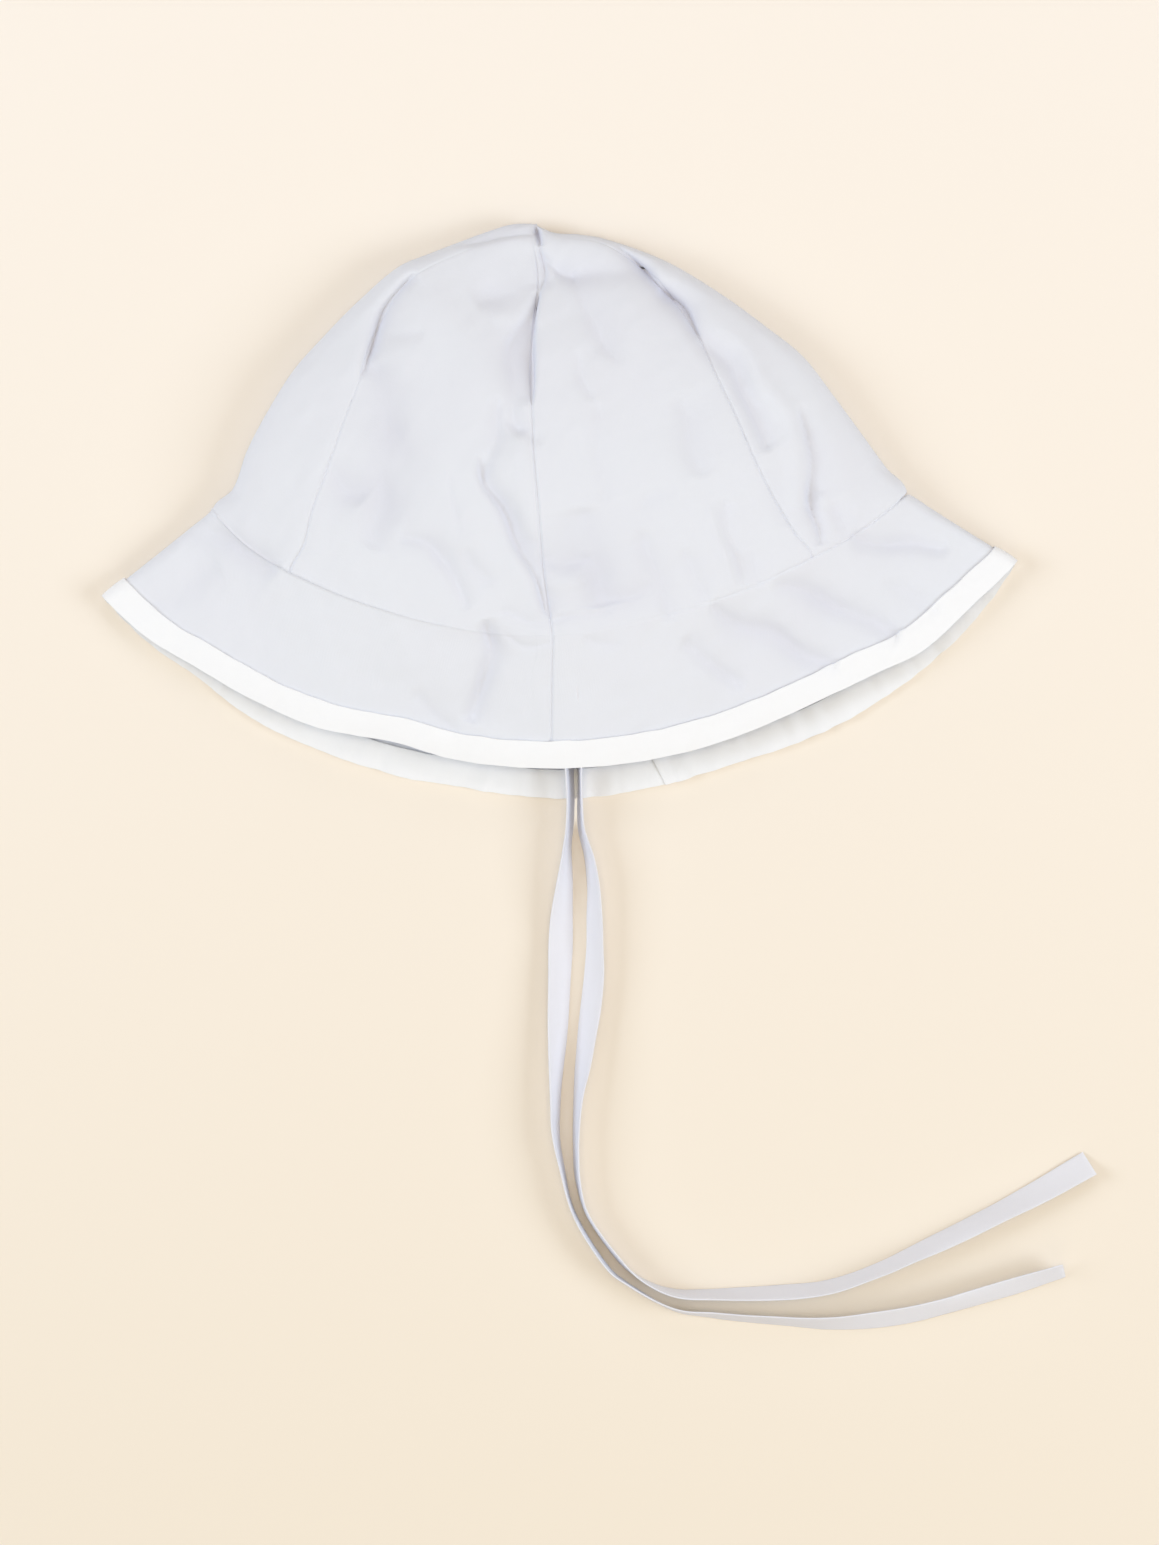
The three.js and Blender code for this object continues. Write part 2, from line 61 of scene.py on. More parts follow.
# Sizes are in metres. One surface runs from the apex to the brim's edge, so the brim's depth is needed here.
quarter_girth = 0.114  # at the head seam
crown_length = 0.130  # from the apex to the head seam
crown_height = 0.027  # of the upper layer over the table
brim_depth = 0.042
side_fold_radius = 0.0045
cloth_thickness = 0.0005
arch_power = 1.15  # 1 for an arch that is half an ellipse; more makes its sides flatter
flatter_tips = 1.7  # how much that power grows over the brim, whose tips are pressed flat
brim_flare = np.radians(0.8)  # how far each side fold turns outwards over the brim
apex_round = 1.6 * side_fold_radius  # length over which the two layers part, from the apex
tape_thickness = 0.00045
tape_stand = tape_thickness + 0.00005  # outside of the binding over the cloth
tape_nose = cloth_thickness / 2 + tape_stand


def smooth(x, low, high):
    """0 up to low, 1 from high on, and the cubic step 3t^2 - 2t^3 between them."""
    t = np.clip((x - low) / (high - low), 0, 1)
    return t * t * (3 - 2 * t)


def curve(xs, ys):
    """A smooth curve through given points: on each stretch the cubic whose slope at either end is that
    of the straight line between the two neighbouring points."""
    before = np.maximum(np.arange(len(xs)) - 1, 0)
    after = np.minimum(np.arange(len(xs)) + 1, len(xs) - 1)
    slopes = (ys[after] - ys[before]) / (xs[after] - xs[before])

    def at(x):
        i = np.clip(np.searchsorted(xs, x) - 1, 0, len(xs) - 2)
        span = xs[i + 1] - xs[i]
        t = np.clip((x - xs[i]) / span, 0, 1)
        start = (1 + 2 * t) * (1 - t) ** 2 * ys[i] + t * (1 - t) ** 2 * span * slopes[i]
        end = t * t * (3 - 2 * t) * ys[i + 1] - t * t * (1 - t) * span * slopes[i + 1]
        return start + end

    return at


def curves(names, rows):
    """One smooth curve for each named column of a table, over its first column."""
    columns = np.array(rows, float).T
    return {name: curve(columns[0], column) for name, column in zip(names.split(), columns)}


# Round the hat, from the apex (reach 0) by the head seam (1) to the brim's edge (2). left and right are
# the cloth between the middle seam and each side fold, in quarter girths; seam_left and seam_right the side
# seams, as shares of the way to the fold, and under those below; lean the middle seam's bearing in degrees;
# rise the height of the upper layer in crown heights; fold the roundness of the side folds.
section = curves(
    "reach left right seam_left seam_right under lean rise fold",
    [
        (0.00, 0.000, 0.000, 0.750, 0.780, 0.55, 2.5, 0.36, 1.00),
        (0.05, 0.087, 0.066, 0.800, 0.840, 0.50, 3.5, 0.40, 1.00),
        (0.10, 0.160, 0.152, 0.850, 0.890, 0.47, 5.8, 0.45, 1.00),
        (0.15, 0.230, 0.233, 0.880, 0.930, 0.45, 5.0, 0.52, 1.00),
        (0.25, 0.367, 0.376, 0.900, 0.900, 0.44, 0.8, 0.68, 1.00),
        (0.33, 0.473, 0.480, 0.880, 0.860, 0.45, -0.4, 0.80, 1.00),
        (0.45, 0.589, 0.618, 0.825, 0.800, 0.47, -0.2, 0.91, 1.00),
        (0.55, 0.676, 0.724, 0.765, 0.745, 0.50, 0.3, 0.97, 1.00),
        (0.65, 0.758, 0.826, 0.740, 0.708, 0.53, 1.0, 1.00, 1.00),
        (0.75, 0.820, 0.899, 0.732, 0.695, 0.56, 1.4, 0.99, 0.98),
        (0.85, 0.872, 0.969, 0.738, 0.695, 0.59, 1.8, 0.95, 0.95),
        (0.93, 0.899, 1.025, 0.745, 0.700, 0.61, 2.3, 0.89, 0.92),
        (1.00, 0.960, 1.080, 0.742, 0.705, 0.63, 2.7, 0.83, 0.88),
        (1.35, 0.960, 1.080, 0.742, 0.705, 0.63, 2.4, 0.68, 0.80),
        (1.70, 0.960, 1.080, 0.742, 0.705, 0.63, 2.1, 0.52, 0.72),
        (2.00, 0.960, 1.080, 0.742, 0.705, 0.63, 1.9, 0.40, 0.66),
    ],
)

# From the left fold (side -1) to the right (1), how far the head seam and the brim's edge lie from the
# apex, on the upper layer and on the one under it: the seam in crown lengths, the edge in crown and brim
# together.
across_hat = curves(
    "side seam edge under_seam under_edge",
    [
        (-1.00, 0.988, 0.993, 0.988, 0.993),
        (-0.88, 0.990, 0.986, 0.991, 0.991),
        (-0.78, 0.982, 0.971, 0.993, 0.983),
        (-0.65, 0.968, 0.963, 0.996, 0.991),
        (-0.50, 0.956, 0.955, 0.998, 0.990),
        (-0.42, 0.953, 0.944, 0.999, 0.990),
        (-0.33, 0.951, 0.935, 1.000, 0.990),
        (-0.22, 0.950, 0.943, 1.002, 0.989),
        (0.00, 0.952, 0.950, 1.007, 1.003),
        (0.30, 0.953, 0.960, 1.014, 1.004),
        (0.51, 0.975, 0.967, 1.022, 1.022),
        (0.65, 0.993, 0.984, 1.028, 1.029),
        (0.75, 1.013, 1.007, 1.038, 1.033),
        (0.88, 1.041, 1.014, 1.050, 1.034),
        (1.00, 1.062, 1.029, 1.062, 1.029),
    ],
)

# Folds of the upper layer, in millimetres on a crown 130 long: depth, below 0 for a ridge; the widths of
# its left and right bank; how crisp it is, from 1 for a crease to 2 for a soft valley; and its line, as
# places to the right of the apex and down from it. A fold that runs to the right has its left bank below.
fold_unit = crown_length / 130
folds = [
    # the left seam's crease, the valley below it and marks beside it
    (2.2, 1.1, 2.2, 1.2, [(-37.2, 18.6), (-42.6, 24.9), (-45.6, 31.2), (-48.3, 38.7), (-50.1, 43.5)]),
    (1.7, 5.0, 5.6, 1.7, [
        (-46.5, 44.7), (-43.5, 52.2), (-42.6, 61.2), (-42.6, 75), (-45.3, 88.2), (-47.1, 95.7),
    ]),
    (1.2, 2.9, 4.3, 1.8, [(-59.7, 74.4), (-56.4, 78.3), (-51.3, 82.8)]),
    (0.4, 1.4, 1.4, 1.6, [(-41.1, 34.5), (-34.5, 34.2)]),
    (0.3, 0.9, 0.9, 1.4, [(-24.9, 78.6), (-24.6, 85.2), (-24.0, 91.8)]),
    # round the apex: its dimple, the turned edge left of it, and creases across the middle seam
    (3.2, 0.8, 0.8, 1.3, [(0.3, 2.1), (0.9, 4.2)]),
    (1.0, 0.7, 4.3, 1.6, [(-26.4, 7.8), (-15.9, 5.4), (-6.9, 4.2), (-0.9, 3.3)]),
    (0.8, 0.8, 0.5, 1.2, [(0.3, 3.6), (1.5, 9.0), (2.4, 15.0), (1.8, 20.7), (1.2, 25.2)]),
    (1.1, 2.3, 3.8, 1.6, [(-14.7, 24.6), (-11.4, 23.1), (-4.5, 19.8), (2.4, 17.7)]),
    (0.9, 1.4, 2.3, 1.3, [(1.8, 9.6), (3.9, 12.6), (6.9, 15.3), (9.9, 16.5)]),
    (1.1, 3.2, 4.1, 1.8, [(6.9, 15.0), (11.1, 16.2), (17.1, 16.2), (23.1, 15.3), (33.6, 15.0)]),
    (1.0, 1.9, 4.6, 1.6, [(12.0, 17.4), (14.1, 23.4), (16.8, 30.0), (20.4, 36.6), (24.0, 40.2)]),
    # the long pleat left of the middle seam
    (1.9, 4.5, 0.4, 1.5, [(1.5, 23.7), (0.9, 28.8), (0.4, 35.7), (0.1, 43.8), (-0.2, 51.6)]),
    (-0.6, 2.9, 2.9, 2.0, [(-10.5, 28.8), (-5.7, 27.6), (-1.8, 24.6)]),
    (1.0, 2.0, 3.8, 1.6, [(-2.7, 31.2), (-5.7, 36.0), (-6.9, 41.4), (-7.2, 48.0), (-5.1, 61.2)]),
    (0.9, 2.2, 1.7, 1.6, [(-11.4, 55.8), (-11.1, 63.0), (-11.4, 69.6), (-13.5, 75.6)]),
    (1.8, 0.9, 3.4, 1.3, [
        (-14.7, 74.4), (-14.1, 79.2), (-11.1, 84.3), (-4.5, 96.9), (2.4, 110.4), (4.5, 115.2),
    ]),
    (0.6, 1.7, 1.7, 1.6, [(-6.9, 60.0), (-2.7, 63.3), (0.3, 66.3)]),
    (-0.6, 3.8, 3.8, 2.0, [(-6.3, 66.6), (-4.2, 74.7), (-2.7, 83.7), (-0.9, 94.2)]),
    # right of the middle seam
    (0.9, 1.7, 2.3, 1.7, [(3.9, 102.3), (8.1, 102.6), (13.2, 101.7)]),
    (-0.4, 1.7, 1.7, 2.0, [(4.5, 108.0), (12.9, 108.0)]),
    (0.9, 3.2, 3.2, 1.7, [(16.5, 102.0), (19.5, 108.6), (23.7, 112.8), (29.1, 112.2), (33.3, 109.2)]),
    (1.3, 6.0, 6.0, 1.7, [(15.0, 88.2), (17.7, 100.2), (19.5, 112.2)]),
    (0.6, 1.4, 2.0, 1.6, [(-6.3, 117.6), (2.1, 118.2), (9.9, 118.2), (21.3, 115.8)]),
    (0.4, 1.2, 1.4, 1.5, [(13.2, 42.0), (15.0, 47.4), (17.1, 52.2)]),
    (0.4, 1.9, 1.9, 1.6, [(19.5, 57.6), (19.8, 67.2), (20.4, 74.7), (20.7, 82.2)]),
    (1.0, 3.2, 3.8, 1.9, [(43.5, 55.2), (46.2, 61.8), (47.7, 68.7), (49.2, 74.4)]),
    (0.4, 1.9, 1.9, 1.6, [(32.1, 85.8), (35.1, 83.1), (39.3, 81.3)]),
    # the right seam's crease, the ridge beside it and the pleat above the brim
    (2.3, 1.8, 0.7, 1.2, [
        (26.4, 7.2), (30.6, 11.4), (35.1, 16.2), (39.3, 20.7), (44.1, 26.1), (48.3, 31.5),
    ]),
    (1.9, 3.0, 4.8, 1.7, [
        (40.5, 21.6), (46.5, 29.4), (51.9, 36.3), (56.7, 43.2), (61.5, 50.4), (69.3, 65.4),
    ]),
    (-0.9, 3.5, 3.5, 2.0, [
        (50.1, 25.8), (58.5, 35.1), (65.7, 44.7), (72.6, 53.7), (77.1, 61.2), (79.8, 82.2),
    ]),
    (1.9, 1.0, 1.8, 1.2, [
        (80.1, 57.6), (81.6, 64.2), (82.2, 71.7), (82.5, 79.2), (83.1, 86.7), (84.3, 94.8),
    ]),
    (0.4, 2.9, 2.9, 1.8, [(71.1, 75.6), (74.1, 82.2), (75.9, 88.2)]),
    (-0.4, 1.7, 1.7, 2.0, [(86.4, 83.1), (87.3, 93.3)]),
    (0.6, 2.6, 2.6, 1.7, [(89.1, 87.0), (92.1, 93.0), (96.9, 96.6)]),
    # puckers above the head seam
    (1.3, 2.0, 2.6, 1.5, [
        (-36.9, 94.5), (-32.4, 95.7), (-27.9, 99.6), (-24.0, 103.2), (-22.5, 107.7), (-21, 113.1),
    ]),
    (0.5, 2.2, 2.2, 1.7, [(-18.9, 99.0), (-16.5, 103.8), (-14.1, 107.4)]),
    (1.0, 2.6, 2.4, 1.6, [(32.1, 95.1), (34.5, 101.1), (36.9, 106.5), (39.0, 111.9), (40.8, 116.4)]),
    (0.6, 1.9, 1.9, 1.6, [(45.9, 100.8), (48.3, 105.0), (51.3, 110.4)]),
    (-0.6, 1.7, 1.7, 2.0, [(53.4, 88.8), (55.5, 96.3), (57.9, 103.2), (59.7, 108.0)]),
    (0.7, 2.0, 2.0, 1.6, [(57.3, 85.8), (58.5, 93.6), (60.6, 100.8), (62.4, 105.6)]),
    (0.4, 1.7, 1.7, 1.6, [(65.4, 100.2), (67.2, 106.2)]),
    # left half of the brim
    (2.0, 1.8, 2.6, 1.6, [(-13.2, 123.0), (-12.3, 129.3), (-15.0, 138.0), (-17.7, 147.0)]),
    (0.6, 2.6, 2.6, 1.7, [(-34.2, 142.2), (-29.7, 146.4), (-24.9, 150.6)]),
    (1.5, 3.6, 3.0, 1.8, [(-101.1, 93.0), (-91.8, 94.5), (-83.7, 99.3), (-77.4, 104.1)]),
    (0.6, 3.2, 3.2, 1.8, [(-111.9, 114.0), (-104.4, 108.6), (-96.3, 103.2)]),
    (0.4, 1.3, 1.3, 1.6, [(-6.3, 124.5), (-2.7, 125.7), (2.1, 125.4)]),
    # right half of the brim
    (0.4, 1.3, 1.3, 1.6, [(17.1, 124.8), (23.7, 126.9)]),
    (1.7, 3.4, 2.4, 1.6, [(74.7, 108.9), (80.1, 110.4), (86.1, 112.2), (93.6, 115.2), (108.0, 122.1)]),
    (1.6, 3.2, 2.4, 1.6, [(55.8, 115.5), (64.8, 120.6), (72.6, 124.8), (80.1, 128.4), (87.9, 132.3)]),
    (1.5, 2.6, 2.4, 1.6, [(97.2, 94.5), (104.1, 95.4), (112.8, 95.4), (122.1, 96.6)]),
    (0.7, 2.3, 2.3, 1.6, [(106.5, 108.0), (112.5, 111.0), (119.1, 114.6)]),
    (1.0, 2.6, 2.6, 1.7, [(47.1, 125.7), (53.7, 130.8), (60.9, 137.4)]),
]
depth_gain = 1.25  # all folds are this much deeper than their depths above
fold_sway = 2.2  # in the same millimetres, how far a fold wanders for each unit of rumple
trough_depth = 0.28  # the wide trough round each fold, as a share of the fold's own depth
trough_width = 2.8  # and as a multiple of its banks


def spine_of(points):
    """A fold's line through its points on smooth curves, run straight on for 3 mm at both ends."""
    points = np.array(points)
    run_on = 3
    first = points[0] - points[1]
    last = points[-1] - points[-2]
    before = points[0] + run_on * first / np.linalg.norm(first)
    after = points[-1] + run_on * last / np.linalg.norm(last)
    points = np.concatenate([[before], points, [after]])
    shares = np.arange(len(points), dtype=float)
    finer = np.linspace(0, len(points) - 1, 4 * len(points) - 3)  # four steps on each stretch
    return np.stack([curve(shares, points[:, 0])(finer), curve(shares, points[:, 1])(finer)], -1)


def rumple(points, longest, shortest, seed):
    """Gentle unevenness, mostly within 0.5 of 0: the mean of 14 sine waves through space times the root
    of 2, with directions and phases drawn at random, and wavelengths between the two given."""
    draw = np.random.default_rng(seed)
    waves = 14
    heading = draw.normal(size=(waves, 3))
    heading /= np.linalg.norm(heading, axis=1, keepdims=True)
    length = shortest * (longest / shortest) ** draw.random(waves)
    phase = draw.uniform(0, 2 * np.pi, waves)
    return np.sin(2 * np.pi * (points @ heading.T) / length + phase).mean(-1) * np.sqrt(2)


def relief(across, down):
    """How far the folds lower the cloth at places given from the apex. Each fold takes off its depth times
    exp(-(distance / bank) ^ crispness), with bank its width on that side of its line, and a wide trough
    round it takes off a share of that times exp(-(distance / wider bank) ^ 2). Along the fold its fullness
    is half a sine wave to the power 0.7; the depth follows it from 0 to 1 and the banks from 0.5 to 1.2.
    The places are swayed by a millimetre or so and the depths vary by up to 30 percent, so no fold has a
    straight side."""
    place = np.stack([across, down], -1).reshape(-1, 2) / fold_unit
    level = np.concatenate([place, 0 * place[:, :1]], 1)
    sway = [rumple(level, 34, 13, seed) for seed in (31, 32)]
    place = place + fold_sway * np.stack(sway, -1)
    swell = np.clip(1 + 0.4 * rumple(level, 30, 12, 33), 0.7, 1.3)
    total = np.zeros(len(place))
    for depth, left, right, crispness, points in folds:
        spine = spine_of(points)
        start = spine[:-1]
        step = np.diff(spine, axis=0)
        margin = 5 * max(left, right)  # beyond it a fold is too shallow to see
        beside = (place > spine.min(0) - margin) & (place < spine.max(0) + margin)
        near = np.flatnonzero(np.all(beside, -1))
        offset = place[near, None] - start
        share = np.clip((offset * step).sum(-1) / (step**2).sum(-1), 0, 1)
        gap = offset - share[..., None] * step
        distance = np.linalg.norm(gap, axis=-1)
        nearest = distance.argmin(1)
        pick = (np.arange(len(near)), nearest)
        turn_to = step[nearest, 0] * gap[pick][:, 1] - step[nearest, 1] * gap[pick][:, 0]
        fullness = np.sin(np.pi * (nearest + share[pick]) / len(step)) ** 0.7
        bank = np.where(turn_to > 0, left, right) * (0.5 + 0.7 * fullness)
        banks_off = distance[pick] / bank
        trough = trough_depth * np.exp(-((banks_off / trough_width) ** 2))
        valley = np.exp(-(banks_off**crispness)) + trough
        total[near] += depth_gain * depth * swell[near] * fullness * valley
    return fold_unit * total.reshape(across.shape)


def hat_surface(turn, reach):
    """The outside of the cloth, from the apex, in metres: turn goes round the hat, with 0 in the middle
    of the upper layer, 1 at the right fold, 2 or -2 in the middle below and -1 at the left fold. A point
    lies at a radius and a bearing from the apex. Its height is a half-round fold at each side and, above,
    an arch: the cosine of the turn to a power that grows over the brim. The folds are taken off it."""
    side = np.sin(turn * np.pi / 2)
    over = np.cos(turn * np.pi / 2)
    above = np.maximum(over, 0)
    upper = smooth(over, -0.4, 0.4)  # the share of the upper layer's cut
    in_crown = np.minimum(reach, 1)
    in_brim = np.maximum(reach - 1, 0)
    seam_share = across_hat["under_seam"](side) * (1 - upper) + across_hat["seam"](side) * upper
    edge_share = across_hat["under_edge"](side) * (1 - upper) + across_hat["edge"](side) * upper
    seam = crown_length * seam_share
    edge = (crown_length + brim_depth) * edge_share - tape_nose
    radius = in_crown * seam + in_brim * (edge - seam)
    half = np.where(side < 0, section["left"](in_crown), section["right"](in_crown))
    fold_bearing = half * quarter_girth / (in_crown * crown_length) + brim_flare * in_brim
    lean = np.radians(section["lean"](reach)) * np.where(over > 0, 1, 2)  # twice as much below
    bearing = fold_bearing * side + lean * over**2
    across = radius * np.sin(bearing)
    down = radius * np.cos(bearing)

    roundness = side_fold_radius * section["fold"](reach)
    base = tape_stand * smooth(in_brim, 0.2, 0.8)  # the brim rests on the binding under it
    fold_share = np.minimum(1, np.sqrt(2 * roundness / np.maximum(radius * fold_bearing, 0.001)))
    nose = np.sqrt(1 - (1 - np.minimum(1, reach * crown_length / apex_round)) ** 2)
    roll = roundness * np.sin(np.pi / 2 * np.minimum(1, np.abs(over) / fold_share))
    height = base + roundness + nose * np.sign(over) * roll
    arch = np.maximum(0, crown_height * section["rise"](reach) - base - 2 * roundness)
    height += nose * above ** (arch_power + flatter_tips * in_brim) * arch
    height -= smooth(above, 0, 0.5) * nose * relief(across, down)
    return np.stack([across, -down, height], -1)


upper_rumple = 0.0009
lower_rumple = 0.00025


def rumpled(points, turn):
    """The cloth with its small unevenness: mostly within half a millimetre up or down on the upper layer,
    and about a quarter of a millimetre, upwards alone, on the one below, which the table keeps flat."""
    above = smooth(np.cos(turn * np.pi / 2), -0.3, 0.3)
    waves = 0.7 * rumple(points, 0.045, 0.012, 3) + 0.3 * rumple(points, 0.012, 0.005, 4)
    lift = upper_rumple * above * waves + lower_rumple * (1 - above) * (1 + waves)
    return points + lift[..., None] * np.array([0, 0, 1])


# The hat is moved from the apex to where the frame has it: both have the brim's edge in the same box.
edge_turn = np.linspace(-2, 2, 2001)
edge_points = hat_surface(edge_turn, np.full(edge_turn.shape, 2.0))
edge_low, edge_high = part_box("edge_binding")
apex = np.array([
    (edge_low.x + edge_high.x - edge_points[:, 0].min() - edge_points[:, 0].max()) / 2,
    edge_low.y + tape_nose - edge_points[:, 1].min(),
    0,
])


def outward(points):
    """Unit normals of a grid of points: the cross product of its steps along both ways of the grid."""
    normal = np.cross(np.gradient(points, axis=0), np.gradient(points, axis=1))
    return normal / np.maximum(np.linalg.norm(normal, axis=-1, keepdims=True), 1e-12)


def crowded(count):
    """Shares from 0 to 1 that lie closer together towards both ends: even ones, less a sine wave that leaves
    15 percent of their spacing at the ends."""
    even = np.linspace(0, 1, count)
    return even - 0.85 * np.sin(2 * np.pi * even) / (2 * np.pi)


def walked(points, axis):
    """Distance along one way of a grid, from its first row."""
    steps = np.linalg.norm(np.diff(points, axis=axis), axis=-1)
    start = np.zeros_like(np.take(steps, [0], axis=axis))
    return np.cumsum(np.concatenate([start, steps], axis=axis), axis=axis)


stitch_depth = 0.0005
stitch_width = 0.0004
allowance_lift = 0.0001


def sewn(distance):
    """How far cloth sinks beside a seam: a narrow groove at the stitches, exp(-(distance / width) ^ 2), less
    the lift of the pressed seam allowance, which is full from 3 to 4 mm and gone at 8 mm."""
    groove = stitch_depth * np.exp(-((distance / stitch_width) ** 2))
    allowance = allowance_lift * smooth(distance, 0.0002, 0.003) * (1 - smooth(distance, 0.004, 0.008))
    return groove - allowance


# How deep the head seam and the seams of the upper gores pull in, 1 being the full groove: the first over
# the side of the hat from the left fold (-1) to the right (1), the others over reach.
head_seam_pull = curves(
    "pull",
    [
        (-1.0, 0.1), (-0.85, 0.2), (-0.78, 0.9), (-0.53, 0.9), (-0.43, 0.4), (-0.29, 0.4), (-0.25, 1.2),
        (0.05, 1.2), (0.12, 0.4), (0.48, 0.4), (0.53, 1.1), (0.74, 1.1), (0.83, 0.3), (1.0, 0.1),
    ],
)["pull"]
side_seam_pull = curves(
    "left right",
    [
        (0.0, 0.2, 0.4), (0.15, 0.3, 0.8), (0.25, 0.9, 1.0), (0.38, 0.7, 0.5), (0.48, 0.9, 0.3),
        (0.60, 1.0, 0.5), (0.92, 1.0, 0.9), (1.0, 0.8, 0.8),
    ],
)


def woven_piece(name, rings, mapping):
    """A closed mesh from rings of points, one ring for each station along the piece. Each ring closes on
    itself, and the first and last are closed by faces between points that face each other across the
    ring. mapping gives each corner's place on the flat cloth, in metres, with one more column than the
    ring."""
    stations, around = rings.shape[:2]
    i, j = np.meshgrid(np.arange(stations - 1), np.arange(around), indexing="ij")
    after = (j + 1) % around
    here = i * around
    ahead = (i + 1) * around
    corners = np.stack([here + j, here + after, ahead + after, ahead + j], -1)
    wide = around + 1
    here_flat = i * wide + j
    ahead_flat = (i + 1) * wide + j
    places = np.stack([here_flat, here_flat + 1, ahead_flat + 1, ahead_flat], -1)
    k = np.arange(around // 2 - 1)
    cap = np.stack([k, around - 1 - k, around - 2 - k, k + 1], -1)
    end = (stations - 1) * around
    faces = np.concatenate([corners.reshape(-1, 4), cap, end + cap[:, ::-1]])
    cap_place = cap + (stations - 1) * wide
    faces_at = np.concatenate([places.reshape(-1, 4), cap, cap_place[:, ::-1]])
    mesh = bpy.data.meshes.new(name)
    mesh.from_pydata(rings.reshape(-1, 3), [], faces)
    flat = mapping.reshape(-1, 2)[faces_at.ravel()]
    mesh.uv_layers.new(name="cloth").uv.foreach_set("vector", flat.ravel())
    mesh.shade_smooth()
    mesh.set_sharp_from_angle(angle=np.radians(60))  # the cloth's cut edges
    piece = bpy.data.objects.new(name, mesh)
    bpy.context.scene.collection.objects.link(piece)
    return piece


def cloth_shell(name, turn, reach, pulls):
    """A panel of cloth over a grid of turn and reach: the outside, sunk beside its seams, then the inside,
    one thickness further in, joined round the rim. Rows of the grid go down the hat and columns round it.
    pulls are those of the seams at its first and last column and first and last row."""
    points = rumpled(hat_surface(turn, reach), turn)
    round_way = walked(points, 1)
    down_way = walked(points, 0)
    from_last = round_way[:, -1:] - round_way
    from_below = down_way[-1:] - down_way
    wide_enough = smooth(round_way[:, -1:], 0.004, 0.02)  # no groove where a gore narrows to its point
    pull_first, pull_last, pull_above, pull_below = pulls
    sink = (pull_first * sewn(round_way) + pull_last * sewn(from_last)) * wide_enough
    sink = sink + pull_above * sewn(down_way) + pull_below * sewn(from_below)
    normal = outward(points)
    outside = points - sink[..., None] * normal
    inside = outside - cloth_thickness * normal
    rings = np.concatenate([outside, inside[:, ::-1]], 1) + apex
    rings[..., 2] = np.maximum(rings[..., 2], 0)  # nothing goes down through the table
    flat = np.stack([round_way - round_way[:, -1:] / 2, down_way], -1)
    mapping = np.concatenate([flat, flat[:, ::-1], flat[:, :1]], 1)
    panel = woven_piece(name, rings, mapping)
    # The depth of the folds at each point, kept as the attribute hollow, from which the material paints
    # shade into them.
    above = smooth(np.cos(turn * np.pi / 2), 0, 0.5)
    hollow = above * relief(points[..., 0], -points[..., 1]) / fold_unit
    both_sides = np.concatenate([hollow, hollow[:, ::-1]], 1)
    panel.data.attributes.new("hollow", "FLOAT", "POINT").data.foreach_set("value", both_sides.ravel())
    return panel


class Wire:
    """An output socket of a material. Arithmetic on it adds Math nodes, and node adds any other node."""

    def __init__(self, tree, socket=None):
        self.tree = tree
        self.socket = socket

    def node(self, kind, settings, inputs, output=0):
        """A node of that kind: its settings are set first, then its sockets get values or wires."""
        made = self.tree.nodes.new("ShaderNode" + kind)
        for name, value in settings.items():
            setattr(made, name, value)
        for name, value in inputs.items():
            if isinstance(value, Wire):
                self.tree.links.new(value.socket, made.inputs[name])
            else:
                made.inputs[name].default_value = value
        return Wire(self.tree, made.outputs[output])

    def math(self, operation, first, second=0.0):
        return self.node("Math", {"operation": operation}, {0: first, 1: second})

    def mix(self, share, first, second):
        """A colour between two others. A Mix node for colours takes them at its inputs 6 and 7."""
        return self.node("Mix", {"data_type": "RGBA"}, {0: share, 6: first, 7: second}, 2)

    def __add__(self, other):
        return self.math("ADD", self, other)

    __radd__ = __add__

    def __mul__(self, other):
        return self.math("MULTIPLY", self, other)

    __rmul__ = __mul__

    def sine(self):
        return self.math("SINE", self)


# Painted shade: the hollows of the folds are tinted towards this purplish grey, standing in for the shade in
# them.
painted_shade_colour = (0.46, 0.44, 0.57, 1)
painted_shade_share = 0.06  # how much of that painted shade the cloth takes for each millimetre that a fold is deep
